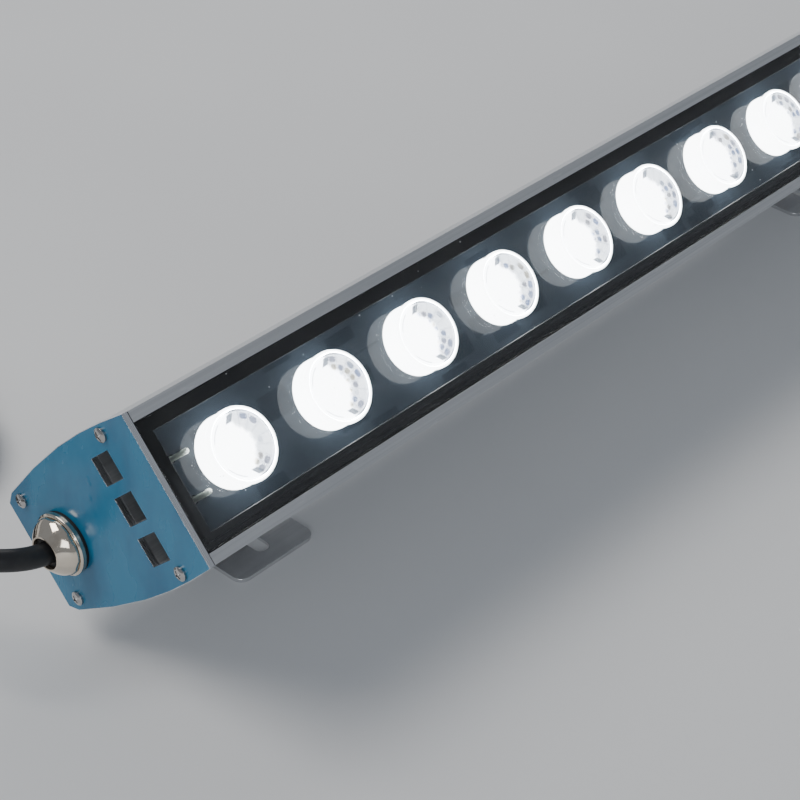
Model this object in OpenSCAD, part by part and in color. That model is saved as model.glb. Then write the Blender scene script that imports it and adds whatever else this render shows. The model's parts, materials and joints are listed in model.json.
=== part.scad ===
// LED batten for stage and facade light: an extruded aluminium bar with a glass front, a row of
// lenses, screwed end plates, a metal cable gland and two hinged feet.
// +Z is up, X runs along the bar and the light leaves towards -Y.
// The origin lies on the table, midway along the bar and midway between its front lip and its
// feet's rear edges.

/* [Bar] */
// Length of the aluminium extrusion
bar_len = 500; // [420:10:560]
// Width of the bar across its two top lips
top_w = 48.6; // [47:0.2:52]
// Depth of the bar from its lips to its back
bar_depth = 79; // [78:1:84]
// Angle of the bar from glass-up towards the viewer
tilt = 45; // [0:1:60]

/* [Front] */
// Width of each bare top lip
lip_w = 3.6; // [2:0.2:4.6]
// Width of the black seal that shows inside each lip
seal_w = 4.6; // [3:0.2:6]
// Thickness of the glass
glass_t = 3; // [2:0.5:3]

/* [Light] */
// Number of lenses
lens_count = 12; // [6:1:12]
// Distance from one lens to the next
lens_pitch = 40; // [26:1:41]
// Radius of each lens holder
holder_r = 11.5; // [8:0.1:12]

/* [Ends] */
// Thickness of each end plate
plate_t = 2; // [1:0.5:3]
// Width of each vent slot
vent_w = 9.1; // [6:0.1:10]
// Height of each vent slot
vent_h = 10; // [8:0.5:10]

/* [Gland] */
// Radius of the gland's flange
gland_r = 10.3; // [10:0.1:11.4]
// How far the gland stands out of the end plate
gland_len = 8.6; // [8:0.2:14]
// Diameter of the cable
cable_d = 7; // [5:0.1:8]

/* [Feet] */
// Width of each foot along the bar
foot_w = 34.4; // [30:0.2:44]
// Length of each foot across the bar
foot_len = 88; // [84:1:110]
// Thickness of the foot's sheet steel
foot_t = 1.5; // [1:0.25:2]
// Centre of the foot nearest the cable
foot_1_x = -184.6; // [-200:0.2:-150]
// Distance between the two feet
foot_gap = 322; // [200:1:340]

/* [Hidden] */
$fn = 64;
slip = 0.05;                      // radial clearance of a running fit
gap = 0.3;                        // space between faces that pass each other

// Bar section, in the bar's own frame: Y across, Z out of the glass, lips at Z = 0
half_w = top_w / 2;
belly_w = half_w + 1.5;           // half-width at the widest level
back_w = half_w - 6.3;            // half-width of the flat back
recess_w = half_w - lip_w;        // half-width of the glass recess
mouth_w = recess_w - seal_w;      // half-width of the seal's opening
glass_drop = 0.4;                 // glass below the lips
glass_slack = 0.4;                // gap between the glass and the recess, filled by the seal
seal_t = 1;
ledge_z = -glass_drop - glass_t - seal_t;
ledge_t = 1.6;
skirt_t = 0.5;                    // the seal's skirt hangs inside the ledges
ledge_w = mouth_w + skirt_t;
chamber_w = 19;                   // half-width of the lens chamber
board_t = 1.2;
board_w = 35;
lens_h = 8.5;                     // from the board to the holder's front
lens_top = ledge_z + 0.4;
board_top = lens_top - lens_h;
floor_z = board_top - board_t;
web_t = 1.6;
vent_top = floor_z - web_t;
vent_step = vent_w + 4;
box_top = vent_top - vent_h - web_t;
wall_t = 2;
slot_mouth = 3.3;                 // half-width of the back slot's mouth
slot_w = 5.9;                     // half-width of the back slot's inside
slot_z = -bar_depth + wall_t;     // lower face of the slot's inside
slot_h = 4.4;
port_r = 1.5;                     // screw ports run the whole length
ports = [[half_w - 2.1, -13.8], [half_w - 7.5, -71.3]];
groove_levels = [for (i = [0 : 7]) -32 - 4.4 * i];

// Stations along the bar
bar_end = bar_len / 2;
gasket_t = 0.25;
plate_in = bar_end + gasket_t;
plate_out = plate_in + plate_t;
film_t = 0.15;
lens_0 = -(lens_count - 1) * lens_pitch / 2;

// Gland axis and hinge axis, in the bar's own frame
gland_z = -60.5;
hinge_drop = bar_depth + 12;
hinge_h = 13.65;                  // hinge axis above the table
lip_reach = hinge_drop * sin(tilt) + half_w * cos(tilt);
hinge_y = (lip_reach - foot_len / 2) / 2;

// Feet and arms
foot_x = [foot_1_x, foot_1_x + foot_gap];
ear_r = 9;
arm_t = 2;
arm_w = foot_w - 2 * foot_t - 2 * gap;
arm_len = 22;
bolt_r = 3;
foot_slot_r = 2.75;
foot_slot_len = 16;
foot_slot_y = foot_len / 2 - 5.7 - foot_slot_len / 2;
foot_corner = 4;
washer_t = 1.2;
nut_af = 10;

// Driver, and the wires that rise from it to the board through the webs between the vents
driver_len = 200;
driver_w = 26;
driver_h = 28;
driver_z = slot_z + slot_h + web_t;
wire_r = 0.9;
wire_y = vent_step / 2;
wire_x = -bar_end + 12;
wire_z = driver_z + driver_h - 7;

// Cable: coil turns are a cable apart, two wide and two high
cable_r = cable_d / 2;
coil_mid = 6 * cable_d;
coil_side = coil_mid + cable_r;   // radius of the outer turns, which both ends leave
coil_x = -252.4;
coil_y = 114;
gland_tip = plate_out + gland_len;
cable_exit = gland_tip - 1.4;
exit_y = hinge_y - (hinge_drop + gland_z) * sin(tilt);
exit_z = hinge_h + (hinge_drop + gland_z) * cos(tilt);
plug_x = -214;
plug_y = coil_y + coil_side - 1;
plug_z = 9.5;

// Point at t on a cubic curve with the four control points p
function bezier(p, t) =
    pow(1 - t, 3) * p[0] + 3 * t * pow(1 - t, 2) * p[1]
    + 3 * t * t * (1 - t) * p[2] + pow(t, 3) * p[3];

function curve(p, steps) = [for (i = [0 : steps]) bezier(p, i / steps)];

function without_first(points) = [for (i = [1 : len(points) - 1]) points[i]];

// The lead starts inside the gland, turns to the back outside it and falls to the coil
lead_bend = [
    [-cable_exit, exit_y, exit_z], [-270, exit_y, 36.2], [-279, 4, 40.2], [-286, 16, 37.5]
];
lead_fall = [
    [-286, 16, 37.5], [-293, 28, 34.8],
    [coil_x - coil_side, 74, cable_r], [coil_x - coil_side, coil_y, cable_r]
];
lead_route = concat(
    [[-plate_out, exit_y, exit_z]], curve(lead_bend, 8), without_first(curve(lead_fall, 12))
);
// It leaves the coil's top turn for the plug
tail_route = curve([
    [coil_x, coil_y + coil_side, 3 * cable_r], [-240, coil_y + coil_side, 3 * cable_r],
    [-228, plug_y, plug_z], [plug_x + 1, plug_y, plug_z]
], 6);

// ---------------------------------------------------------------- placing
module in_bar_frame() {
    translate([0, hinge_y, hinge_h])
        rotate([tilt, 0, 0])
            translate([0, 0, hinge_drop])
                children();
}

// Extrudes a Y-Z outline along X, from x0 to x1
module along_x(x0, x1) {
    translate([x0, 0, 0])
        rotate([90, 0, 90])
            linear_extrude(x1 - x0)
                children();
}

// Turns a Z-axis solid so that its axis runs along +X
module axis_x() {
    rotate([0, 90, 0]) children();
}

// At each end: the cable end as drawn, the blank end mirrored
module at_end(cable_end) {
    in_bar_frame()
        mirror([cable_end ? 1 : 0, 0, 0])
            children();
}

// ---------------------------------------------------------------- outlines
function side_points(inset) = [
    [half_w - inset / 4, 0],
    [belly_w - 0.4 - inset, -12],
    [belly_w - inset, -24],
    [belly_w - 0.4 - inset, -38],
    [half_w - 0.7 - inset, -56],
    [half_w - 3.9 - inset, -bar_depth + 4 + inset / 2],
    [back_w - inset / 2, -bar_depth + inset / 2]
];

function mirrored(points) = concat(
    points,
    [for (i = [len(points) - 1 : -1 : 0]) [-points[i][0], points[i][1]]]
);

module bar_outline(inset = 0) {
    polygon(mirrored(side_points(inset)));
}

// Half-width of the outline at a level of the lower body
function side_at(level) = lookup(level, [
    [-56, half_w - 0.7],
    [-38, belly_w - 0.4],
    [-24, belly_w],
    [-bar_depth + 4, half_w - 3.9]
]);

module both_sides() {
    children();
    mirror([1, 0]) children();
}

module box_2d(y0, y1, z0, z1) {
    translate([y0, z0]) square([y1 - y0, z1 - z0]);
}

module vents_2d(grow = 0) {
    for (i = [-1 : 1])
        translate([i * vent_step, vent_top - vent_h / 2])
            square([vent_w + 2 * grow, vent_h + 2 * grow], center = true);
}

module ports_2d(r) {
    both_sides()
        for (p = ports)
            translate(p) circle(r, $fn = 32);
}

// ---------------------------------------------------------------- bar
module housing_2d() {
    difference() {
        bar_outline(0.4);
        box_2d(-recess_w, recess_w, ledge_z, 1);
        box_2d(-ledge_w, ledge_w, ledge_z - ledge_t, ledge_z + 1);
        box_2d(-chamber_w, chamber_w, floor_z, ledge_z - ledge_t);
        vents_2d();
        both_sides() side_cavity();
        lower_chamber();
        box_2d(-slot_mouth, slot_mouth, -bar_depth - 1, slot_z + 1);
        box_2d(-slot_w, slot_w, slot_z, slot_z + slot_h);
        both_sides() grooves();
        ports_2d(port_r);
    }
}

module side_cavity() {
    box_2d(vent_step + vent_w / 2 + web_t, belly_w - 2.6, vent_top - vent_h, vent_top - 3);
}

module lower_chamber() {
    inner_low = -bar_depth + wall_t + 0.4;
    difference() {
        intersection() {
            bar_outline(wall_t + 0.6);
            box_2d(-half_w, half_w, inner_low, box_top);
        }
        box_2d(-slot_w - web_t, slot_w + web_t, -bar_depth, slot_z + slot_h + web_t);
        ports_2d(port_r + web_t);
    }
}

module grooves() {
    for (level = groove_levels)
        translate([side_at(level), level])
            square([2, 1.6], center = true);
}

module housing() {
    color("silver")
        in_bar_frame()
            difference() {
                along_x(-bar_end, bar_end) housing_2d();
                wire_holes(box_top - 1, floor_z + 1);
            }
}

// Two holes for the board's wires, from level z0 up to level z1
module wire_holes(z0, z1) {
    for (side = [-1, 1])
        translate([wire_x, side * wire_y, z0]) cylinder(r = wire_r + 0.4, h = z1 - z0, $fn = 32);
}

module glass_cover() {
    edge = recess_w - glass_slack;
    color("lightcyan", 0.4)
        in_bar_frame()
            translate([-bar_end + glass_slack, -edge, -glass_drop - glass_t])
                cube([bar_len - 2 * glass_slack, 2 * edge, glass_t]);
}

// Black seal: a flat frame under the glass, a thin wall round the glass's edge and a skirt that
// hangs inside the bar's two ledges
module glass_seal() {
    seat_z = -glass_drop - glass_t;
    end_w = seal_w + 1;
    skirt_z = ledge_z - ledge_t + 0.3;
    color("black")
        in_bar_frame() {
            difference() {
                translate([-bar_end, -recess_w, ledge_z])
                    cube([bar_len, 2 * recess_w, seal_t + glass_t]);
                translate([-bar_end + end_w, -mouth_w, ledge_z - 1])
                    cube([bar_len - 2 * end_w, 2 * mouth_w, seal_t + 2]);
                translate([-bar_end + glass_slack, -recess_w + glass_slack, seat_z])
                    cube([bar_len - 2 * glass_slack, 2 * (recess_w - glass_slack), glass_t + 1]);
            }
            for (side = [0, 1])
                mirror([0, side, 0])
                    translate([-bar_end, mouth_w, skirt_z])
                        cube([bar_len, skirt_t, ledge_z + seal_t / 2 - skirt_z]);
        }
}

// ---------------------------------------------------------------- light
module led_board() {
    board_len = bar_len - 8;
    color("dimgray")
        in_bar_frame()
            difference() {
                translate([-board_len / 2, -board_w / 2, floor_z])
                    cube([board_len, board_w, board_t]);
                wire_holes(floor_z - 1, board_top + 1);
            }
}

// Two wires from the driver's end, up through the board and bent over onto its pads
module board_leads() {
    loop = 4.6;
    reach = 4.6;
    low = [for (t = curve([[16, 0], [4, 0], [0, 4], [0, 16]], 6)) [wire_x + t[0], wire_z + t[1]]];
    high = [
        for (t = curve([[0, 0.3], [0, loop], [reach, loop], [reach, 0.05]], 10))
            [wire_x + t[0], board_top + t[1]]
    ];
    path = concat([[-driver_len / 2, wire_z]], low, high);
    color("gainsboro")
        in_bar_frame()
            for (side = [-1, 1])
                tube([for (p = path) [p[0], side * wire_y, p[1]]], wire_r, [0, 1, 0]);
}

module at_lenses() {
    in_bar_frame()
        for (i = [0 : lens_count - 1])
            translate([lens_0 + i * lens_pitch, 0, board_top])
                children();
}

// One emitter: a square base with a small dome
module emitter() {
    base = 3.5;
    base_h = 0.8;
    dome_r = 1.5;
    translate([-base / 2, -base / 2, 0]) cube([base, base, base_h]);
    translate([0, 0, base_h])
        intersection() {
            sphere(dome_r, $fn = 32);
            cylinder(r = dome_r + 1, h = dome_r + 1);
        }
}

module led_emitters() {
    color("khaki") at_lenses() emitter();
}

bore_wall = 1.6;                  // from the holder's rim to its bore
seat_wall = 0.75;                 // from the holder's rim to the lens's seat
seat_h = 7;                       // level of the lens's seat above the board
flange_t = 1.3;
flange_r = holder_r - seat_wall - 0.15;

// One holder: a waisted ring on the board with a seat for the lens
module holder() {
    waist = 0.6;
    rotate_extrude()
        polygon([
            [holder_r - bore_wall, 0], [holder_r - 0.2, 0], [holder_r - 0.2, 1.8],
            [holder_r - waist, 2.6], [holder_r - waist, 6.2], [holder_r, seat_h],
            [holder_r, lens_h - 0.3], [holder_r - 0.3, lens_h], [holder_r - seat_wall, lens_h],
            [holder_r - seat_wall, seat_h], [holder_r - bore_wall, seat_h]
        ]);
}

module lens_holders() {
    color("white") at_lenses() holder();
}

// Half-section of a lens's collimating body, from its narrow foot to its flange
function collimator_wall(foot_r, rim_r) = [
    for (t = [0 : 0.125 : 1])
        [foot_r + (rim_r - foot_r) * sqrt(t), 0.6 + (seat_h - 0.6) * t]
];

// One lens: collimating body, front flange with two flats, and a well for the emitter
module lens() {
    well_r = 2.6;
    well_h = 4;
    flat = flange_r - 0.35;
    difference() {
        union() {
            rotate_extrude()
                polygon(concat(
                    [[0, 0.6]],
                    collimator_wall(4.2, holder_r - bore_wall - 0.3),
                    [[0, seat_h]]
                ));
            intersection() {
                translate([0, 0, seat_h]) cylinder(r = flange_r, h = flange_t);
                translate([-flange_r, -flat, seat_h]) cube([2 * flange_r, 2 * flat, flange_t]);
            }
        }
        cylinder(r = well_r, h = well_h);
    }
}

module lens_at(i) {
    color("white", 0.8)
        in_bar_frame()
            translate([lens_0 + i * lens_pitch, 0, board_top])
                lens();
}

// ---------------------------------------------------------------- driver
// Power supply that stands on the roof of the back slot, with a step at each end of its lid
module driver_box() {
    step = 4;
    color("dimgray")
        in_bar_frame()
            translate([-driver_len / 2, -driver_w / 2, driver_z])
                difference() {
                    cube([driver_len, driver_w, driver_h]);
                    for (x = [-1, driver_len - step])
                        translate([x, -1, driver_h - step])
                            cube([step + 1, driver_w + 2, step + 1]);
                }
}

// ---------------------------------------------------------------- ends
module end_gasket(cable_end) {
    color("black")
        at_end(cable_end)
            along_x(bar_end, plate_in)
                difference() {
                    bar_outline(0.6);
                    vents_2d(0.4);
                    ports_2d(port_r + 0.3);
                    translate([0, gland_z]) circle(gland_r + 0.6);
                }
}

module end_plate_2d(cable_end, inset = 0) {
    difference() {
        bar_outline(inset);
        vents_2d();
        ports_2d(port_r + 0.2);
        if (cable_end)
            translate([0, gland_z]) circle(gland_stem_r + slip);
    }
}

module end_plate(cable_end) {
    color("silver")
        at_end(cable_end)
            along_x(plate_in, plate_out) end_plate_2d(cable_end);
}

// Blue protective film on the outer face of an end plate
module end_film(cable_end) {
    color("steelblue")
        at_end(cable_end)
            along_x(plate_out, plate_out + film_t) end_plate_2d(cable_end, 0.2);
}

module end_screw() {
    head_r = 2.3;
    head_h = 1.5;
    cross_r = 1.3;
    cross_w = 0.5;
    axis_x() {
        difference() {
            intersection() {
                cylinder(r = head_r, h = head_h);
                translate([0, 0, head_h - head_r - 1.4]) sphere(head_r + 1.4);
            }
            for (a = [0, 90])
                rotate([0, 0, a])
                    translate([-cross_r, -cross_w / 2, 0.5])
                        cube([2 * cross_r, cross_w, head_h]);
        }
        translate([0, 0, -10]) cylinder(r = port_r - slip, h = 10);
    }
}

module end_screws(cable_end) {
    color("gainsboro")
        at_end(cable_end)
            for (side = [-1, 1], p = ports)
                translate([plate_out + film_t, side * p[0], p[1]])
                    end_screw();
}

// ---------------------------------------------------------------- gland
gland_stem_r = 8;
gland_washer_t = 0.9;
flange_h = 2.2;
dome_r = gland_r - 0.8;
dome_mouth_r = 5.1;
dome_rim = 0.5;
collar_r = 7.2;
collar_h = 2.4;
bore_r = 5.6;
washer_x = plate_out + film_t;
flange_x = washer_x + gland_washer_t;
dome_x = flange_x + flange_h + 0.1;
seal_x = dome_x - 1;

// Places a Z-axis gland part on the cable end, outwards from station x
module on_gland(x) {
    at_end(true)
        translate([x, 0, gland_z])
            axis_x()
                children();
}

module gland_washer() {
    color("black")
        on_gland(washer_x)
            difference() {
                cylinder(r = gland_r - 0.3, h = gland_washer_t);
                translate([0, 0, -1]) cylinder(r = gland_stem_r + slip, h = gland_washer_t + 2);
            }
}

module gland_body() {
    inside = 8;
    color("silver")
        on_gland(flange_x)
            difference() {
                union() {
                    rotate_extrude()
                        polygon([
                            [0, 0], [gland_r - 0.4, 0], [gland_r, 0.4],
                            [gland_r, flange_h - 0.5], [gland_r - 0.5, flange_h], [0, flange_h]
                        ]);
                    translate([0, 0, -inside]) cylinder(r = gland_stem_r, h = inside);
                    translate([0, 0, flange_h]) cylinder(r = collar_r, h = collar_h);
                }
                translate([0, 0, -inside - 1])
                    cylinder(r = bore_r, h = inside + flange_h + collar_h + 2);
            }
}

module gland_locknut() {
    nut_h = 3;
    across_flats = 18;
    color("silver")
        on_gland(plate_in - nut_h)
            rotate([0, 0, 90])
                difference() {
                    cylinder(r = across_flats / 2 / cos(30), h = nut_h, $fn = 6);
                    translate([0, 0, -1]) cylinder(r = gland_stem_r + slip, h = nut_h + 2);
                }
}

// Outer half-section of the dome nut, rounding in from the flange to the thin rim of its mouth
function dome_wall(h) = [
    for (t = [0 : 0.1 : 1])
        [dome_mouth_r + dome_rim + (dome_r - dome_mouth_r - dome_rim) * cos(90 * t), h * t]
];

module gland_dome() {
    h = gland_tip - dome_x;
    flats = 2 * dome_r - 0.5;
    color("silver")
        on_gland(dome_x)
            difference() {
                rotate_extrude()
                    polygon(concat([[0, 0]], dome_wall(h), [[0, h]]));
                translate([0, 0, -1]) cylinder(r = collar_r + slip, h = collar_h + 1.2);
                cylinder(r = dome_mouth_r, h = h + 1);
                wrench_flats(flats, 1.8);
            }
}

// Six shallow wrench flats round the skirt of the dome nut
module wrench_flats(across, h) {
    for (a = [0 : 60 : 300])
        rotate([0, 0, a])
            translate([across / 2, -8, -1]) cube([4, 16, h + 1]);
}

module gland_seal() {
    h = cable_exit - seal_x;
    color("black")
        on_gland(seal_x)
            difference() {
                union() {
                    cylinder(r = bore_r - 0.1, h = h - 2);
                    cylinder(r = dome_mouth_r - slip, h = h);
                }
                translate([0, 0, -1]) cylinder(r = cable_r, h = h + 2);
            }
}

// ---------------------------------------------------------------- feet and arms
// U-shaped clip bolted to the bar's back slot, with two ears for the hinge bolt
module arm(n) {
    drop = hinge_drop - bar_depth;
    color("lightgray")
        in_bar_frame()
            translate([foot_x[n], 0, -bar_depth]) {
                difference() {
                    translate([-arm_w / 2, -arm_len / 2, -arm_t]) cube([arm_w, arm_len, arm_t]);
                    translate([0, 0, -arm_t - 1]) cylinder(r = bolt_r + 0.2, h = arm_t + 2);
                }
                for (side = [-1, 1])
                    translate([side * (arm_w / 2 - arm_t / 2) - arm_t / 2, 0, 0])
                        arm_ear(drop);
            }
}

module arm_ear(drop) {
    ear_w = 8;
    difference() {
        union() {
            translate([0, -ear_w, -drop]) cube([arm_t, 2 * ear_w, drop - arm_t]);
            translate([0, 0, -drop]) axis_x() cylinder(r = ear_w, h = arm_t);
        }
        translate([-1, 0, -drop]) axis_x() cylinder(r = bolt_r + slip, h = arm_t + 2);
    }
}

// T-bolt whose square head slides in the bar's back slot
module slot_bolt(n) {
    head = 10;
    head_h = 3.6;
    shank = wall_t + arm_t + 7;
    color("silver")
        in_bar_frame()
            translate([foot_x[n], 0, slot_z]) {
                translate([-head / 2, -head / 2, 0]) cube([head, head, head_h]);
                translate([0, 0, -shank]) cylinder(r = bolt_r, h = shank);
            }
}

module hex_nut(h) {
    difference() {
        cylinder(r = nut_af / 2 / cos(30), h = h, $fn = 6);
        translate([0, 0, -1]) cylinder(r = bolt_r + slip, h = h + 2);
    }
}

module slot_nut(n) {
    nut_h = 4.6;
    color("silver")
        in_bar_frame()
            translate([foot_x[n], 0, -bar_depth - arm_t - nut_h])
                hex_nut(nut_h);
}

module foot_slots_2d() {
    reach = foot_slot_len / 2 - foot_slot_r;
    for (side = [-1, 1])
        translate([0, side * foot_slot_y]) {
            square([2 * foot_slot_r, 2 * reach], center = true);
            for (end = [-1, 1])
                translate([0, end * reach]) circle(foot_slot_r, $fn = 32);
        }
}

module rounded_2d(w, l, r) {
    square([w, l - 2 * r], center = true);
    square([w - 2 * r, l], center = true);
    for (sx = [-1, 1], sy = [-1, 1])
        translate([sx * (w / 2 - r), sy * (l / 2 - r)]) circle(r, $fn = 32);
}

// Foot: a flat sheet with two slotted holes and two ears folded up at its sides
module foot(n) {
    color("lightgray")
        translate([foot_x[n], hinge_y, 0]) {
            linear_extrude(foot_t)
                difference() {
                    rounded_2d(foot_w, foot_len, foot_corner);
                    foot_slots_2d();
                    for (sx = [-1, 1], sy = [-1, 1])
                        translate([sx * foot_w / 2, sy * (ear_r + 0.6)])
                            square([2 * foot_t + 2, 1.2], center = true);
                }
            for (side = [-1, 1])
                translate([side * (foot_w - foot_t) / 2 - foot_t / 2, 0, 0])
                    foot_ear();
        }
}

module foot_ear() {
    difference() {
        union() {
            translate([0, -ear_r, foot_t]) cube([foot_t, 2 * ear_r, hinge_h - foot_t]);
            translate([0, 0, hinge_h]) axis_x() cylinder(r = ear_r, h = foot_t);
        }
        translate([-1, 0, hinge_h]) axis_x() cylinder(r = bolt_r + slip, h = foot_t + 2);
    }
}

module at_hinge(n, x) {
    translate([foot_x[n] + x, hinge_y, hinge_h])
        axis_x()
            children();
}

// Through bolt of the hinge, its hex head on the cable side
module hinge_bolt(n) {
    head_h = 4;
    grip = foot_w + 2 * washer_t;
    color("silver")
        at_hinge(n, -grip / 2) {
            translate([0, 0, -head_h])
                cylinder(r = nut_af / 2 / cos(30), h = head_h, $fn = 6);
            cylinder(r = bolt_r, h = grip + 7);
        }
}

module hinge_nut(n) {
    color("silver")
        at_hinge(n, foot_w / 2 + washer_t) hex_nut(5.4);
}

module hinge_washers(n) {
    color("silver")
        for (x = [-foot_w / 2 - washer_t, foot_w / 2])
            at_hinge(n, x)
                difference() {
                    cylinder(r = 6, h = washer_t);
                    translate([0, 0, -1]) cylinder(r = bolt_r + slip, h = washer_t + 2);
                }
}

// ---------------------------------------------------------------- cable
TUBE_SIDES = 10;

function unit(v) = v / norm(v);

function heading(route, i) =
    unit(route[min(i + 1, len(route) - 1)] - route[max(i - 1, 0)]);

// Ring of points round a centre, square to dir; up is any direction that dir never takes
function ring(centre, dir, r, up) =
    let (across = unit(cross(up, dir)), above = cross(dir, across))
    [for (k = [0 : TUBE_SIDES - 1])
        let (a = 360 * k / TUBE_SIDES)
        centre + r * (cos(a) * across + sin(a) * above)];

// A plain tube swept along a route
module tube(route, r, up = [0, 0, 1]) {
    last = len(route) - 1;
    points = [for (i = [0 : last]) each ring(route[i], heading(route, i), r, up)];
    walls = [
        for (i = [0 : last - 1], k = [0 : TUBE_SIDES - 1])
            let (next = (k + 1) % TUBE_SIDES, a = i * TUBE_SIDES, b = a + TUBE_SIDES)
            [a + next, a + k, b + k, b + next]
    ];
    start = [for (k = [0 : TUBE_SIDES - 1]) k];
    finish = [for (k = [TUBE_SIDES - 1 : -1 : 0]) last * TUBE_SIDES + k];
    polyhedron(points, concat(walls, [start, finish]), convexity = 6);
}

// Straight run from the inner side of the gland to the driver
module cable_inner() {
    color("black")
        on_gland(driver_len / 2)
            cylinder(r = cable_r, h = plate_out - driver_len / 2);
}

module cable_lead() {
    color("black") tube(lead_route, cable_r / cos(180 / TUBE_SIDES) * 0.99);
}

module cable_coil() {
    color("black")
        translate([coil_x, coil_y, 0])
            rotate_extrude()
                translate([coil_mid, cable_d])
                    rounded_2d(2 * cable_d, 2 * cable_d, cable_r);
}

module cable_tail() {
    color("black") tube(tail_route, cable_r / cos(180 / TUBE_SIDES) * 0.99);
}

// Strap round the coil's bundle
module coil_tie() {
    strap = 1;
    strap_w = 8;
    size = 2 * cable_d;
    color("dimgray")
        translate([coil_x + coil_mid, coil_y, 0])
            rotate([90, 0, 0])
                translate([0, 0, -strap_w / 2])
                    linear_extrude(strap_w)
                        difference() {
                            box_2d(-size / 2 - strap, size / 2 + strap, 0, size + strap);
                            box_2d(-size / 2, size / 2, strap, size);
                        }
}

module at_plug(x) {
    translate([plug_x + x, plug_y, plug_z])
        axis_x()
            children();
}

boot_len = 12;
plug_len = 26;
ring_len = 14;

module plug_boot() {
    color("black")
        at_plug(0)
            difference() {
                rotate_extrude()
                    polygon([[0, 0], [4.6, 0], [5.2, 1], [7.2, boot_len], [0, boot_len]]);
                translate([0, 0, -1]) cylinder(r = cable_r, h = 3);
            }
}

module plug_body() {
    color("black")
        at_plug(boot_len)
            difference() {
                union() {
                    cylinder(r = 8, h = plug_len - ring_len + 2);
                    cylinder(r = 6.6, h = plug_len);
                }
                translate([0, 0, plug_len - 9]) cylinder(r = 5.2, h = 10);
            }
}

// Coupling ring with grip grooves
module plug_ring() {
    color("dimgray")
        at_plug(boot_len + plug_len - ring_len + 2.1)
            difference() {
                cylinder(r = plug_z, h = ring_len);
                translate([0, 0, -1]) cylinder(r = 6.6 + slip, h = ring_len + 2);
                for (a = [0 : 20 : 340])
                    rotate([0, 0, a])
                        translate([plug_z, 0, -1]) cylinder(r = 0.7, h = ring_len + 2, $fn = 16);
            }
}

module plug_pins() {
    color("gold")
        at_plug(boot_len + plug_len - 9)
            for (a = [0 : 120 : 240])
                rotate([0, 0, a])
                    translate([2.8, 0, 0]) cylinder(r = 0.8, h = 7, $fn = 24);
}

housing();
glass_cover();
glass_seal();
led_board();
board_leads();
led_emitters();
lens_holders();
lens_at(0);  // lens_01
lens_at(1);  // lens_02
lens_at(2);  // lens_03
lens_at(3);  // lens_04
lens_at(4);  // lens_05
lens_at(5);  // lens_06
lens_at(6);  // lens_07
lens_at(7);  // lens_08
lens_at(8);  // lens_09
lens_at(9);  // lens_10
lens_at(10);  // lens_11
lens_at(11);  // lens_12
driver_box();
end_gasket(true);  // end_gasket_cable
end_plate(true);  // end_plate_cable
end_film(true);  // end_film_cable
end_screws(true);  // end_screws_cable
end_gasket(false);  // end_gasket_blank
end_plate(false);  // end_plate_blank
end_film(false);  // end_film_blank
end_screws(false);  // end_screws_blank
gland_washer();
gland_body();
gland_locknut();
gland_dome();
gland_seal();
arm(0);  // arm_1
slot_bolt(0);  // slot_bolt_1
slot_nut(0);  // slot_nut_1
foot(0);  // foot_1
hinge_bolt(0);  // hinge_bolt_1
hinge_nut(0);  // hinge_nut_1
hinge_washers(0);  // hinge_washers_1
arm(1);  // arm_2
slot_bolt(1);  // slot_bolt_2
slot_nut(1);  // slot_nut_2
foot(1);  // foot_2
hinge_bolt(1);  // hinge_bolt_2
hinge_nut(1);  // hinge_nut_2
hinge_washers(1);  // hinge_washers_2
cable_inner();
cable_lead();
cable_coil();
cable_tail();
coil_tie();
plug_boot();
plug_body();
plug_ring();
plug_pins();
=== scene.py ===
"""LED batten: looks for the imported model, in metres, in the row frame."""

import json
import math

import bmesh
import bpy
from mathutils import Matrix, Vector

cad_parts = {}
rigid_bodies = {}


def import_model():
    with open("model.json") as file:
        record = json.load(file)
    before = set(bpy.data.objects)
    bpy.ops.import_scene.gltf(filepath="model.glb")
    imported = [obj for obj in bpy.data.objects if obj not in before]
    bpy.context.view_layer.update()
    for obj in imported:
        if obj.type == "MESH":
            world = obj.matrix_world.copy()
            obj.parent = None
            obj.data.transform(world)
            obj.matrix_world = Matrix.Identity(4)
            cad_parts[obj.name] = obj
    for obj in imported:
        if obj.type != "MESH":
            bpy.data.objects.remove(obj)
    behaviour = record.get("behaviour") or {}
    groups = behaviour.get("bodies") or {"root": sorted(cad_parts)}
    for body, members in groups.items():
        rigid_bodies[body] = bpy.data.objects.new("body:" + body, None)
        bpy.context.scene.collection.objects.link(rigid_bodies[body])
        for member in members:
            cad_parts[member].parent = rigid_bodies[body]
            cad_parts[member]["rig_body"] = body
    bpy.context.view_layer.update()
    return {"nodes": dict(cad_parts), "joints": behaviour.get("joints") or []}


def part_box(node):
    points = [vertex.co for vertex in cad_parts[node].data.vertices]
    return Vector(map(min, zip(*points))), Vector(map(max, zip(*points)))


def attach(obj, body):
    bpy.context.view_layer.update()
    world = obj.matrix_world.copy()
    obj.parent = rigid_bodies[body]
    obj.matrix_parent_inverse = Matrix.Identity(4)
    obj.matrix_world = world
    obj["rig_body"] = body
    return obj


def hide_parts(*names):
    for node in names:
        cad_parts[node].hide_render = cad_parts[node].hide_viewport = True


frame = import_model()
MM = 0.001  # metres in a millimetre

# ---------------------------------------------------------------- the bar's own frame
TILT = math.radians(45)
HINGE_DROP = 91 * MM  # from the bar's origin down to the hinges
BOARD_TOP = -12.5 * MM  # the LED board's face, from the bar's origin
hinge = Vector(frame["joints"][0]["pos_m"])
BAR = (
    Matrix.Translation((0, hinge.y, hinge.z))
    @ Matrix.Rotation(TILT, 4, "X")
    @ Matrix.Translation((0, 0, HINGE_DROP))
)


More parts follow.
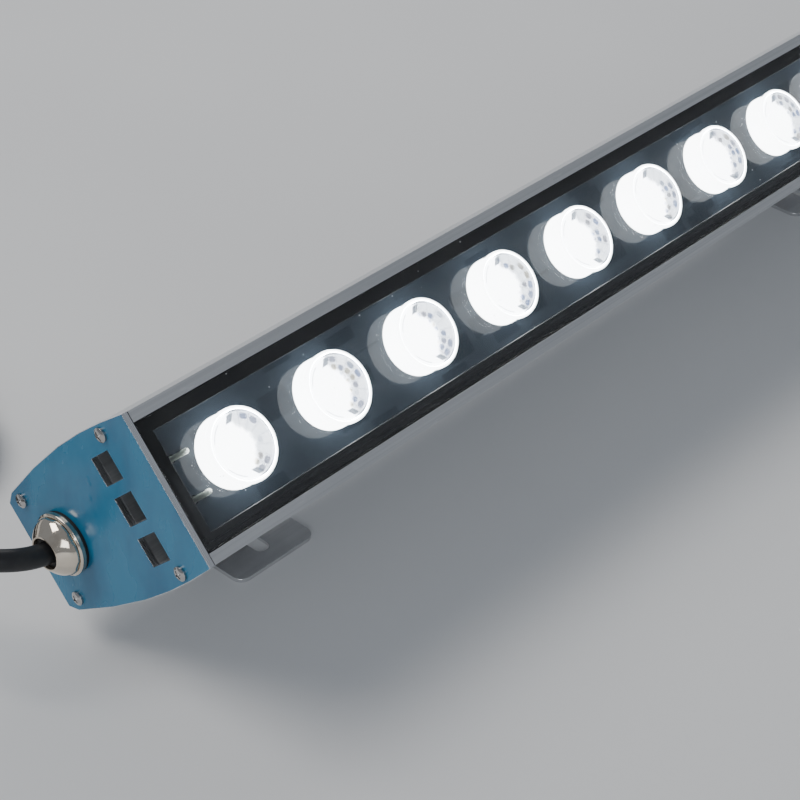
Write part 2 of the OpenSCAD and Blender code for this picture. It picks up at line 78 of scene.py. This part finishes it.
# ---------------------------------------------------------------- camera, lights and floor
def add_camera():
    camera = bpy.data.objects.new("camera", bpy.data.cameras.new("camera"))
    camera.data.sensor_width = 36
    camera.data.lens = 94.5
    camera.data.clip_start = 0.01
    camera.location = (-0.5582, -0.3752, 0.4379)
    camera.rotation_euler = [math.radians(a) for a in (53.925, -3.06, -48.57)]
    bpy.context.scene.collection.objects.link(camera)
    bpy.context.scene.camera = camera


def add_softbox(name, place, aim, size, power, colour=(1, 1, 1)):
    light = bpy.data.lights.new(name, "AREA")
    light.shape = "RECTANGLE"
    light.size, light.size_y = size
    light.energy = power
    light.color = colour
    lamp = bpy.data.objects.new(name, light)
    lamp.location = place
    lamp.rotation_euler = (Vector(aim) - Vector(place)).to_track_quat("-Z", "Y").to_euler()
    bpy.context.scene.collection.objects.link(lamp)


def add_studio():
    add_softbox("key", (-0.9, 0.9, 1.5), (0, 0, 0), (1.2, 0.8), 20, (1.0, 0.97, 0.93))
    add_softbox("fill", (-1.6, -1.1, 0.9), (0, 0, 0), (1.0, 0.8), 9, (0.9, 0.95, 1.0))
    add_softbox("rim", (1.4, 0.9, 1.1), (0, 0, 0), (0.8, 0.8), 9)
    world = bpy.data.worlds.new("studio")
    world.use_nodes = True
    background = world.node_tree.nodes["Background"]
    background.inputs["Color"].default_value = (0.80, 0.86, 0.95, 1)
    background.inputs["Strength"].default_value = 0.32
    bpy.context.scene.world = world


def add_floor(material):
    size = 6
    mesh = bpy.data.meshes.new("floor")
    mesh.from_pydata(
        [(-size, -size, 0), (size, -size, 0), (size, size, 0), (-size, size, 0)],
        [],
        [(0, 1, 2, 3)],
    )
    mesh.materials.append(material)
    floor = bpy.data.objects.new("floor", mesh)
    bpy.context.scene.collection.objects.link(floor)


# ---------------------------------------------------------------- shader building
class Surface:
    """A Principled material with short calls for its procedural nodes."""

    def __init__(self, name, colour, metallic=0.0, roughness=0.5, **sockets):
        self.material = bpy.data.materials.new(name)
        self.material.use_nodes = True
        self.tree = self.material.node_tree
        self.bsdf = self.tree.nodes["Principled BSDF"]
        self.set("Base Color", (*colour, 1))
        self.set("Metallic", metallic)
        self.set("Roughness", roughness)
        for socket, value in sockets.items():
            self.set(socket.replace("_", " ").title().replace("Ior", "IOR"), value)
        self.place = self.node("ShaderNodeTexCoord").outputs["Object"]

    def set(self, socket, value):
        self.bsdf.inputs[socket].default_value = value

    def node(self, kind, **settings):
        made = self.tree.nodes.new(kind)
        for key, value in settings.items():
            setattr(made, key, value)
        return made

    def link(self, source, target):
        self.tree.links.new(source, target)

    def feed(self, source, socket):
        self.link(source, self.bsdf.inputs[socket])

    def mapped(self, scale):
        mapping = self.node("ShaderNodeMapping")
        mapping.inputs["Scale"].default_value = scale
        self.link(self.place, mapping.inputs["Vector"])
        return mapping.outputs["Vector"]

    def noise(self, scale, detail=4.0, roughness=0.55):
        texture = self.node("ShaderNodeTexNoise")
        texture.inputs["Scale"].default_value = 1.0
        texture.inputs["Detail"].default_value = detail
        texture.inputs["Roughness"].default_value = roughness
        self.link(self.mapped(scale), texture.inputs["Vector"])
        return texture.outputs["Fac"]

    def cells(self, scale, **settings):
        texture = self.node("ShaderNodeTexVoronoi", **settings)
        texture.inputs["Scale"].default_value = 1.0
        self.link(self.mapped(scale), texture.inputs["Vector"])
        return texture.outputs["Distance"]

    def math(self, operation, a, b=None):
        made = self.node("ShaderNodeMath", operation=operation)
        for index, value in enumerate((a, b)):
            if value is None:
                continue
            if isinstance(value, (int, float)):
                made.inputs[index].default_value = value
            else:
                self.link(value, made.inputs[index])
        return made.outputs[0]

    def product(self, *factors):
        result = factors[0]
        for factor in factors[1:]:
            result = self.math("MULTIPLY", result, factor)
        return result

    def length(self, a, b):
        squares = self.math("ADD", self.math("POWER", a, 2), self.math("POWER", b, 2))
        return self.math("SQRT", squares)

    def off(self, source, centre):
        """How far source is from centre, either way."""
        return self.math("ABSOLUTE", self.math("SUBTRACT", source, centre))

    def spread(self, source, low, high, to_low=0.0, to_high=1.0):
        """source from low..high becomes to_low..to_high, smoothly and clamped."""
        made = self.node("ShaderNodeMapRange", interpolation_type="SMOOTHSTEP")
        for socket, value in zip(
            ("From Min", "From Max", "To Min", "To Max"), (low, high, to_low, to_high)
        ):
            made.inputs[socket].default_value = value
        self.link(source, made.inputs["Value"])
        return made.outputs["Result"]

    def mix(self, factor, a, b):
        """Mixes two colours, each a tuple or an output."""
        made = self.node("ShaderNodeMix", data_type="RGBA")
        self.link(factor, made.inputs["Factor"])
        for socket, value in (("A", a), ("B", b)):
            target = next(s for s in made.inputs if s.name == socket and s.type == "RGBA")
            if isinstance(value, tuple):
                target.default_value = (*value, 1)
            else:
                self.link(value, target)
        return next(s for s in made.outputs if s.type == "RGBA")

    def ramp(self, source, stops):
        """A colour for each value of source, blended between stops of (value, colour)."""
        made = self.node("ShaderNodeValToRGB")
        elements = made.color_ramp.elements
        for element, (value, colour) in zip(elements, (stops[0], stops[-1])):
            element.position = value
            element.color = (*colour, 1)
        for value, colour in stops[1:-1]:
            elements.new(value).color = (*colour, 1)
        self.link(source, made.inputs["Fac"])
        return made.outputs["Color"]

    def bump(self, height, distance, strength):
        made = self.node("ShaderNodeBump")
        made.inputs["Strength"].default_value = strength
        made.inputs["Distance"].default_value = distance
        self.link(height, made.inputs["Height"])
        self.feed(made.outputs["Normal"], "Normal")


# ---------------------------------------------------------------- materials
def floor_material():
    s = Surface("floor_paper", (0.74, 0.745, 0.75), roughness=0.6)
    grain = s.noise((900, 900, 900), detail=3)
    tone = s.noise((3, 3, 3), detail=2)
    s.feed(s.mix(s.spread(tone, 0.35, 0.65), (0.72, 0.725, 0.735), (0.76, 0.765, 0.77)), "Base Color")
    s.bump(grain, 0.00005, 0.4)
    return s.material


def aluminium_material():
    s = Surface("drawn_aluminium", (0.74, 0.75, 0.76), metallic=1.0, roughness=0.38)
    lines = s.noise((6, 1500, 1500), detail=5, roughness=0.65)
    cloud = s.noise((18, 60, 60), detail=3)
    marks = s.spread(s.noise((90, 420, 420), detail=6), 0.62, 0.74)
    base = s.mix(s.spread(lines, 0.3, 0.7), (0.68, 0.69, 0.70), (0.80, 0.81, 0.82))
    s.feed(s.mix(marks, base, (0.86, 0.86, 0.87)), "Base Color")
    rough = s.math("ADD", s.spread(cloud, 0.3, 0.7, 0.30, 0.42), s.product(lines, 0.08))
    s.feed(rough, "Roughness")
    s.bump(lines, 0.00003, 0.5)
    return s.material


def cut_aluminium_material():
    s = Surface("cut_aluminium", (0.82, 0.83, 0.85), metallic=1.0, roughness=0.25)
    lines = s.noise((1800, 60, 60), detail=3)
    nicks = s.spread(s.noise((260, 90, 90), detail=5), 0.66, 0.72)
    base = s.mix(s.spread(lines, 0.3, 0.7), (0.79, 0.80, 0.82), (0.86, 0.87, 0.89))
    s.feed(s.mix(nicks, base, (0.66, 0.68, 0.70)), "Base Color")
    s.feed(s.spread(lines, 0.3, 0.7, 0.22, 0.32), "Roughness")
    s.bump(lines, 0.00002, 0.3)
    return s.material


def wire_material():
    s = Surface("wire_sleeve", (0.42, 0.46, 0.40), roughness=0.35)
    scuff = s.noise((700, 700, 200), detail=3)
    s.feed(s.mix(scuff, (0.34, 0.38, 0.33), (0.50, 0.54, 0.48)), "Base Color")
    s.feed(s.spread(scuff, 0.3, 0.7, 0.28, 0.45), "Roughness")
    return s.material


def glass_material():
    s = Surface(
        "cover_glass", (0.97, 0.99, 1.0), roughness=0.0, transmission_weight=1.0, ior=1.45
    )
    dust = s.cells((260, 260, 260))
    specks = s.spread(dust, 0.035, 0.06, 1.0, 0.0)
    thin = s.spread(s.noise((40, 40, 40), detail=2), 0.52, 0.6)
    specks = s.product(specks, thin)
    s.feed(s.math("SUBTRACT", 1.0, specks), "Transmission Weight")
    s.feed(s.product(specks, 0.7), "Roughness")
    return s.material


def rubber_material(name, tone, roughness):
    fresh = (tone, tone, tone * 1.15)
    s = Surface(name, fresh, roughness=roughness, specular_ior_level=0.4)
    grain = s.noise((1800, 1800, 1800), detail=3)
    worn = s.noise((70, 70, 70), detail=4)
    s.feed(s.mix(s.spread(worn, 0.45, 0.7), fresh, (tone * 2.2,) * 3), "Base Color")
    s.feed(s.spread(worn, 0.3, 0.7, roughness - 0.06, roughness + 0.1), "Roughness")
    s.bump(grain, 0.00004, 0.5)
    return s.material


def board_material():
    s = Surface("solder_mask", (0.012, 0.016, 0.022), roughness=0.07, specular_ior_level=0.12)
    tracks = s.cells((55, 90, 90), distance="CHEBYCHEV")
    edge = s.spread(tracks, 0.30, 0.33)
    s.feed(s.mix(edge, (0.010, 0.014, 0.019), (0.018, 0.024, 0.031)), "Base Color")
    wave = s.noise((90, 90, 90), detail=3)
    s.feed(s.spread(wave, 0.3, 0.7, 0.03, 0.1), "Roughness")
    s.bump(s.math("ADD", edge, wave), 0.00004, 0.4)
    return s.material


def film_material():
    """Blue protective film: gloss, with long soft wrinkles and a few trapped bubbles."""
    blue, deep = (0.028, 0.185, 0.32), (0.018, 0.13, 0.245)
    s = Surface("blue_film", blue, roughness=0.22, specular_ior_level=0.45)
    cloud = s.noise((35, 60, 25), detail=4)
    s.feed(s.mix(s.spread(cloud, 0.35, 0.65), deep, blue), "Base Color")
    wrinkle = s.noise((60, 110, 30), detail=3, roughness=0.45)
    bubble = s.spread(s.cells((170, 170, 170)), 0.1, 0.24, 1.0, 0.0)
    few = s.spread(s.noise((45, 45, 45), detail=1), 0.56, 0.6)
    height = s.math("ADD", wrinkle, s.product(bubble, few, 0.5))
    s.feed(s.spread(cloud, 0.3, 0.7, 0.17, 0.3), "Roughness")
    s.bump(height, 0.0005, 0.35)
    return s.material


def steel_material(name, colour, low, high, grain=(30, 1600, 1600)):
    """Stainless steel: fine grain lines, hazy smudges and light scratches."""
    s = Surface(name, colour, metallic=1.0, roughness=low)
    lines = s.noise(grain, detail=5, roughness=0.6)
    haze = s.noise((55, 55, 55), detail=4)
    scratch = s.spread(s.noise((240, 900, 500), detail=6), 0.66, 0.7)
    dull = tuple(c * 0.86 for c in colour)
    s.feed(s.mix(s.spread(haze, 0.35, 0.7), colour, dull), "Base Color")
    rough = s.math("ADD", s.spread(haze, 0.35, 0.7, low, high), s.product(scratch, 0.12))
    s.feed(rough, "Roughness")
    s.bump(lines, 0.00002, 0.35)
    return s.material


def nickel_material():
    s = Surface("nickel", (0.74, 0.66, 0.56), metallic=1.0, roughness=0.08)
    haze = s.noise((130, 130, 130), detail=4)
    pits = s.spread(s.cells((1500, 1500, 1500)), 0.08, 0.2, 1.0, 0.0)
    s.feed(s.mix(s.spread(haze, 0.4, 0.7), (0.76, 0.68, 0.57), (0.60, 0.51, 0.41)), "Base Color")
    s.feed(s.spread(haze, 0.3, 0.75, 0.05, 0.17), "Roughness")
    s.bump(s.product(pits, -0.4), 0.00005, 0.3)
    return s.material


def brass_material():
    s = Surface("pin_brass", (0.83, 0.62, 0.28), metallic=1.0, roughness=0.2)
    haze = s.noise((900, 900, 900), detail=3)
    s.feed(s.mix(haze, (0.83, 0.62, 0.28), (0.68, 0.48, 0.2)), "Base Color")
    s.feed(s.spread(haze, 0.3, 0.7, 0.14, 0.3), "Roughness")
    return s.material


def plastic_material(name, tone, roughness):
    s = Surface(name, (tone,) * 3, roughness=roughness)
    grain = s.cells((2200, 2200, 2200))
    cloud = s.noise((80, 80, 80), detail=3)
    s.feed(s.mix(s.spread(cloud, 0.3, 0.7), (tone,) * 3, (tone * 1.5,) * 3), "Base Color")
    s.feed(s.spread(cloud, 0.3, 0.7, roughness - 0.05, roughness + 0.08), "Roughness")
    s.bump(grain, 0.00006, 0.4)
    return s.material


def strap_material():
    s = Surface("woven_strap", (0.03, 0.03, 0.034), roughness=0.85, sheen_weight=0.4)
    weave = s.node("ShaderNodeTexChecker")
    weave.inputs["Scale"].default_value = 1.0
    s.link(s.mapped((1700, 1700, 1700)), weave.inputs["Vector"])
    s.feed(s.mix(weave.outputs["Fac"], (0.022, 0.022, 0.026), (0.05, 0.05, 0.056)), "Base Color")
    s.bump(weave.outputs["Fac"], 0.00015, 0.7)
    return s.material


def emitter_material():
    s = Surface("phosphor", (0.95, 0.85, 0.45), roughness=0.3)
    glow = s.noise((900, 900, 900), detail=2)
    s.feed(s.mix(glow, (1.0, 0.93, 0.7), (1.0, 1.0, 0.95)), "Emission Color")
    s.set("Emission Strength", 6.0)
    return s.material


def glowing_holder_material():
    # Painted glow: the holders emit light, cool to warm and stronger in patches, standing in for the
    # LEDs' light passing through them, though they are no lamp.
    s = Surface("lens_holder", (0.85, 0.88, 0.9), roughness=0.25)
    cloud = s.noise((260, 260, 260), detail=3)
    s.feed(s.mix(cloud, (0.90, 0.955, 1.0), (1.0, 0.985, 0.955)), "Emission Color")
    s.feed(s.spread(cloud, 0.3, 0.7, 11.0, 13.0), "Emission Strength")
    return s.material


# The pattern in a lens's front: the core lies towards the cable end, and petals crossed by rings
# split the band beside it into facets
CORE_SHIFT = 2.4 * MM
PETALS = 16
RING_PITCH = 2.45 * MM
FACET_TINTS = [
    (0.40, (0.42, 0.50, 0.64)),
    (0.55, (0.12, 0.25, 0.78)),
    (0.68, (0.22, 0.30, 0.66)),
    (0.82, (0.36, 0.34, 0.50)),
    (0.97, (0.78, 0.66, 0.36)),
]
CORE_GLOW = 12
BAND_GLOW = 3.4


def lens_band(s, x, y, radius):
    """1 in the tinted band, which starts at the core's ragged edge and ends at the flange."""
    core = s.length(s.math("ADD", x, CORE_SHIFT), y)
    ragged = s.product(s.noise((480, 480, 480), detail=2), 2.6 * MM)
    return s.product(
        s.spread(s.math("SUBTRACT", core, ragged), 3.6 * MM, 6.6 * MM),
        s.spread(x, -1 * MM, 1.8 * MM),
        s.spread(radius, 10.3 * MM, 10.55 * MM, 1, 0),
    )


def lens_facets(s, angle, radius):
    """The spot in each facet, its tint, and the seams between petals; no two lenses are alike."""
    own = s.node("ShaderNodeObjectInfo").outputs["Random"]
    petal = s.math("ADD", s.product(angle, PETALS / (2 * math.pi)), own)
    ring = s.math("DIVIDE", radius, RING_PITCH)
    facet = s.node("ShaderNodeCombineXYZ")
    for index, part in enumerate((s.math("FLOOR", petal), s.math("FLOOR", ring), s.product(own, 40))):
        s.link(part, facet.inputs[index])
    chance = s.node("ShaderNodeTexWhiteNoise")
    s.link(facet.outputs[0], chance.inputs["Vector"])
    value = chance.outputs["Value"]
    petal_wave, ring_wave = (
        s.math("ABSOLUTE", s.math("SINE", s.product(place, math.pi))) for place in (petal, ring)
    )
    spot = s.product(
        s.spread(s.product(petal_wave, ring_wave), 0.12, 0.6), s.spread(value, 0.35, 0.45)
    )
    seam = s.spread(petal_wave, 0.0, 0.3, 0.4, 0)
    return spot, s.ramp(value, FACET_TINTS), seam


def lens_marks(s, x, across, radius):
    """Slanted dark gate marks at both sides, rim lines at the near side, arcs at the far rim."""
    lean = s.product(s.math("SUBTRACT", across, 8.6 * MM), 0.8)
    mark = s.product(
        s.spread(across, 7.0 * MM, 7.6 * MM),
        s.spread(across, 9.2 * MM, 9.7 * MM, 1, 0),
        s.spread(s.off(s.math("SUBTRACT", x, lean), 0.3 * MM), 0.9 * MM, 1.4 * MM, 0.85, 0),
    )
    line = s.product(
        s.spread(s.off(radius, 9.3 * MM), 0.1 * MM, 0.2 * MM, 0.55, 0),
        s.spread(x, -4.5 * MM, -3.5 * MM, 1, 0),
        s.spread(across, 3.4 * MM, 4.4 * MM),
    )
    arc = s.product(
        s.spread(s.off(radius, 10.15 * MM), 0.12 * MM, 0.25 * MM, 0.9, 0),
        s.spread(across, 7.6 * MM, 9.4 * MM),
        s.spread(x, -1.2 * MM, 0.6 * MM),
    )
    return s.math("MAXIMUM", s.math("MAXIMUM", mark, line), arc)


def lens_material():
    """A lit optic: a blown-out core, and round its far side a band of dimmer tinted facets."""
    s = Surface("lit_lens", (0.9, 0.94, 1.0), roughness=0.05, coat_weight=0.5)
    parts = s.node("ShaderNodeSeparateXYZ")
    s.link(s.place, parts.inputs[0])
    x, y, z = parts.outputs
    radius = s.length(x, y)
    front = s.spread(z, 7.5 * MM, 7.8 * MM)
    band = s.product(lens_band(s, x, y, radius), front)
    dark = s.product(lens_marks(s, x, s.math("ABSOLUTE", y), radius), front)
    spot, tint, seam = lens_facets(s, s.math("ARCTAN2", y, x), radius)
    seam = s.product(seam, band)

    grey = s.mix(s.noise((420, 420, 420), detail=4), (0.66, 0.74, 0.86), (0.98, 0.99, 1.0))
    colour = s.mix(band, (0.96, 0.985, 1.0), s.mix(spot, grey, tint))
    s.feed(s.mix(s.math("MAXIMUM", dark, seam), colour, (0.14, 0.19, 0.30)), "Emission Color")
    glow = s.spread(band, 0, 1, CORE_GLOW, BAND_GLOW)
    for dimming, least in ((s.product(spot, band), 0.22), (seam, 0.35), (dark, 0.05)):
        glow = s.product(glow, s.spread(dimming, 0, 1, 1, least))
    s.feed(glow, "Emission Strength")
    return s.material


# ---------------------------------------------------------------- meshes
def new_piece(name, mesh, material, body, place=None):
    piece = bpy.data.objects.new(name, mesh)
    mesh.materials.clear()
    mesh.materials.append(material)
    bpy.context.scene.collection.objects.link(piece)
    if place is not None:
        piece.matrix_world = place
    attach(piece, body)
    return piece


MERGE_WITHIN = 1e-6
FLAT_WITHIN = math.radians(0.4)
SMOOTH_BELOW = math.radians(35)
BEVEL_ABOVE = math.radians(40)


def refine(node, material, bevel):
    """Stands a copy of a CAD node, with rounded edges, in for the node."""
    source = frame["nodes"][node]
    mesh = source.data.copy()
    mesh.name = node + "_fine"
    bm = bmesh.new()
    bm.from_mesh(mesh)
    bmesh.ops.remove_doubles(bm, verts=bm.verts, dist=MERGE_WITHIN)
    bmesh.ops.dissolve_limit(
        bm, angle_limit=FLAT_WITHIN, verts=bm.verts, edges=bm.edges, delimit={"NORMAL"}
    )
    bm.to_mesh(mesh)
    bm.free()
    mesh.shade_smooth()
    mesh.set_sharp_from_angle(angle=SMOOTH_BELOW)
    piece = new_piece(node + "_fine", mesh, material, source["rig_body"])
    if bevel:
        edge = piece.modifiers.new("edge", "BEVEL")
        edge.width = bevel
        edge.segments = 2
        edge.limit_method = "ANGLE"
        edge.angle_limit = BEVEL_ABOVE
        edge.use_clamp_overlap = True
        edge.harden_normals = True
    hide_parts(node)
    return piece


def revolve(name, profile, steps, adjust):
    """A closed mesh from a half-section (radius, height) in millimetres, turned about Z.

    The section's first and last points lie on the axis, and adjust moves the others."""
    bm = bmesh.new()
    rings = []
    for radius, height in profile:
        if radius == 0:
            rings.append([bm.verts.new(Vector((0, 0, height)) * MM)])
            continue
        ring = []
        for k in range(steps):
            a = 2 * math.pi * k / steps
            point = Vector((radius * math.cos(a), radius * math.sin(a), height))
            ring.append(bm.verts.new(adjust(point) * MM))
        rings.append(ring)
    for low, high in zip(rings, rings[1:]):
        for k in range(steps):
            n = (k + 1) % steps
            corners = [low[k % len(low)], low[n % len(low)], high[n % len(high)], high[k % len(high)]]
            unique = list(dict.fromkeys(corners))
            if len(unique) > 2:
                bm.faces.new(unique)
    bmesh.ops.recalc_face_normals(bm, faces=bm.faces)
    mesh = bpy.data.meshes.new(name)
    bm.to_mesh(mesh)
    bm.free()
    mesh.shade_smooth()
    mesh.set_sharp_from_angle(angle=math.radians(30))
    return mesh


# ---------------------------------------------------------------- cable
CABLE_D = 7.0 * MM
COIL_CENTRE = Vector((-252.4, 114.0)) * MM
COIL_SIDE = 6.5 * CABLE_D  # from the coil's centre to its outer turn
# Degrees round the coil: all of it, one step, and the start and span of each shift of the cable
COIL_SWEEP = 1170
COIL_STEP = 6
SHIFT_IN = (270, 90)
SHIFT_UP = (570, 60)
SHIFT_OUT = (840, 90)
# How far the cable goes into the plug's boot, and the tail's straight pull from each of its ends
BOOT_DEPTH = 1 * MM
PULL_FROM_COIL = 12.4 * MM
PULL_FROM_BOOT = 15 * MM


def bezier(points, steps):
    """Points along a cubic curve with four control points."""
    a, b, c, d = (Vector(p) for p in points)
    route = []
    for k in range(steps + 1):
        t = k / steps
        route.append(
            a * (1 - t) ** 3 + b * 3 * t * (1 - t) ** 2 + c * 3 * t * t * (1 - t) + d * t ** 3
        )
    return route


def shifted(turned, start, span):
    """0 up to the start angle, 1 from the end of the span, and smooth between them."""
    t = min(max((turned - start) / span, 0.0), 1.0)
    return t * t * (3 - 2 * t)


def near_face(node):
    """The middle of a node's face towards -X."""
    low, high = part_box(node)
    return Vector((low.x, (low.y + high.y) / 2, (low.z + high.z) / 2))


def coil_route():
    """Three and a quarter turns: on the floor from outside in, then on top from inside out."""
    route = []
    for turned in range(0, COIL_SWEEP + 1, COIL_STEP):
        radius = COIL_SIDE
        radius -= CABLE_D * shifted(turned, *SHIFT_IN)
        radius += CABLE_D * shifted(turned, *SHIFT_OUT)
        height = CABLE_D / 2 + CABLE_D * shifted(turned, *SHIFT_UP)
        a = math.radians(180 - turned)
        across = Vector((math.cos(a), math.sin(a))) * radius
        route.append(Vector((*(COIL_CENTRE + across), height)))
    return route


def lead_route(gland_mouth):
    """From the gland the cable turns to the back and falls to the coil."""
    x, y, z = gland_mouth
    side = COIL_CENTRE.x - COIL_SIDE
    turn = Vector((-286, 16, 37.5)) * MM
    bend = [(x, y, z), (-270 * MM, y, 36.2 * MM), Vector((-279, 4, 40.2)) * MM, turn]
    fall = [
        turn,
        Vector((-293, 28, 34.8)) * MM,
        (side, 74 * MM, CABLE_D / 2),
        (side, COIL_CENTRE.y, CABLE_D / 2),
    ]
    return bezier(bend, 24)[:-1] + bezier(fall, 40)


def tail_route(start):
    """From the coil's last turn into the plug's boot."""
    x, y, z = near_face("plug_boot")
    end = Vector((x + BOOT_DEPTH, y, z))
    leave = start + Vector((PULL_FROM_COIL, 0, 0))
    arrive = end - Vector((PULL_FROM_BOOT, 0, 0))
    return bezier([start, leave, arrive, end], 20)


def add_cable(material):
    coil = coil_route()
    route = lead_route(near_face("gland_seal"))[:-1] + coil + tail_route(coil[-1])[1:]
    curve = bpy.data.curves.new("cable", "CURVE")
    curve.dimensions = "3D"
    curve.bevel_depth = CABLE_D / 2
    curve.bevel_resolution = 6
    curve.use_fill_caps = True
    spline = curve.splines.new("POLY")
    spline.points.add(len(route) - 1)
    for point, place in zip(spline.points, route):
        point.co = (*place, 1)
    curve.materials.append(material)
    cable = bpy.data.objects.new("cable", curve)
    bpy.context.scene.collection.objects.link(cable)
    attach(cable, "lamp")
    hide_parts("cable_lead", "cable_coil", "cable_tail")
    length = sum((b - a).length for a, b in zip(route, route[1:]))
    return cable, route[0], length


# ---------------------------------------------------------------- the lenses
LENS_COUNT = 12
# One optic, in millimetres: body, flange with a chamfered edge and two flats, recessed front
BASE_R = 4.2
BASE_Z = 0.6
FLARE = 5.4
FLANGE_R = 10.6
FLANGE_Z = 7.0
FLANGE_EDGE = 0.15
FLAT_Y = 10.25
LENS_TOP = 8.3
LIP_R = 10.1
FRONT_R = 10.0
FRONT_Z = LENS_TOP - 0.25
PILLOW_PITCH = 1.9
PILLOW_RISE = 0.09
SLACK = 0.05


def lens_mesh():
    """One optic: emitter well, flared body, flange with two flats and a pillowed front."""
    well = [(0, 4.6), (1.6, 4.3), (2.4, 3.4), (2.6, BASE_Z)]
    body = [
        (BASE_R + FLARE * math.sqrt(t / 12), BASE_Z + (FLANGE_Z - BASE_Z) * t / 12)
        for t in range(13)
    ]
    flange = [
        (FLANGE_R - FLANGE_EDGE, FLANGE_Z),
        (FLANGE_R, FLANGE_Z + FLANGE_EDGE),
        (FLANGE_R, LENS_TOP - FLANGE_EDGE),
        (FLANGE_R - FLANGE_EDGE, LENS_TOP),
        (LIP_R, LENS_TOP),
        (FRONT_R, FRONT_Z),
    ]
    front = [(9.9 - 0.45 * k, FRONT_Z) for k in range(22)] + [(0, FRONT_Z)]

    def shape(point):
        reach = math.hypot(point.x, point.y)
        if point.z > FRONT_Z - SLACK and reach < FRONT_R - SLACK:
            wave = 2 * math.pi / PILLOW_PITCH
            point.z += PILLOW_RISE * math.cos(wave * point.x) * math.cos(wave * point.y)
        if point.z > FLANGE_Z - SLACK:
            point.y = min(max(point.y, -FLAT_Y), FLAT_Y)
        return point

    return revolve("lens", well + body + flange + front, 96, shape)


def add_lenses(material):
    mesh = lens_mesh()
    for index in range(1, LENS_COUNT + 1):
        node = f"lens_{index:02d}"
        low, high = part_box(node)
        place = BAR @ Matrix.Translation(((low.x + high.x) / 2, 0, BOARD_TOP))
        piece = new_piece(f"optic_{index:02d}", mesh, material, "lamp", place)
        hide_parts(node)


# ---------------------------------------------------------------- build
add_camera()
add_studio()
sheath = rubber_material("cable_sheath", 0.012, 0.42)
cable, cable_exit, cable_length = add_cable(sheath)

aluminium = aluminium_material()
cut_aluminium = cut_aluminium_material()
seal = rubber_material("seal_rubber", 0.008, 0.5)
steel = steel_material("polished_steel", (0.72, 0.72, 0.73), 0.05, 0.14)
bolt_steel = steel_material("bolt_steel", (0.58, 0.58, 0.6), 0.22, 0.34, (400, 400, 400))
screw_steel = steel_material("screw_steel", (0.50, 0.49, 0.48), 0.14, 0.24, (500, 500, 500))
nickel = nickel_material()
plug = plastic_material("plug_plastic", 0.02, 0.42)
film = film_material()

FINISHES = {
    "housing": (aluminium, 0.25),
    "glass_cover": (glass_material(), 0.15),
    "glass_seal": (seal, 0.1),
    "led_board": (board_material(), 0.1),
    "board_leads": (wire_material(), 0),
    "cable_inner": (sheath, 0),
    "led_emitters": (emitter_material(), 0),
    "lens_holders": (glowing_holder_material(), 0.12),
    "driver_box": (plastic_material("driver_case", 0.12, 0.5), 0.4),
    "coil_tie": (strap_material(), 0.3),
    "plug_boot": (plug, 0.3),
    "plug_body": (plug, 0.3),
    "plug_ring": (plug, 0.25),
    "plug_pins": (brass_material(), 0.15),
    "gland_washer": (seal, 0.15),
    "gland_body": (nickel, 0.15),
    "gland_locknut": (nickel, 0.2),
    "gland_dome": (nickel, 0.2),
    "gland_seal": (seal, 0.3),
}
for end in ("cable", "blank"):
    FINISHES[f"end_gasket_{end}"] = (seal, 0.1)
    FINISHES[f"end_plate_{end}"] = (cut_aluminium, 0.15)
    FINISHES[f"end_film_{end}"] = (film, 0.03)
    FINISHES[f"end_screws_{end}"] = (screw_steel, 0.12)
for side in (1, 2):
    FINISHES[f"arm_{side}"] = (steel, 0.3)
    FINISHES[f"foot_{side}"] = (steel, 0.25)
    for part in ("slot_bolt", "slot_nut", "hinge_bolt", "hinge_nut", "hinge_washers"):
        FINISHES[f"{part}_{side}"] = (bolt_steel, 0.25)

fine = {
    node: refine(node, material, bevel * MM) for node, (material, bevel) in FINISHES.items()
}
add_lenses(lens_material())
add_floor(floor_material())
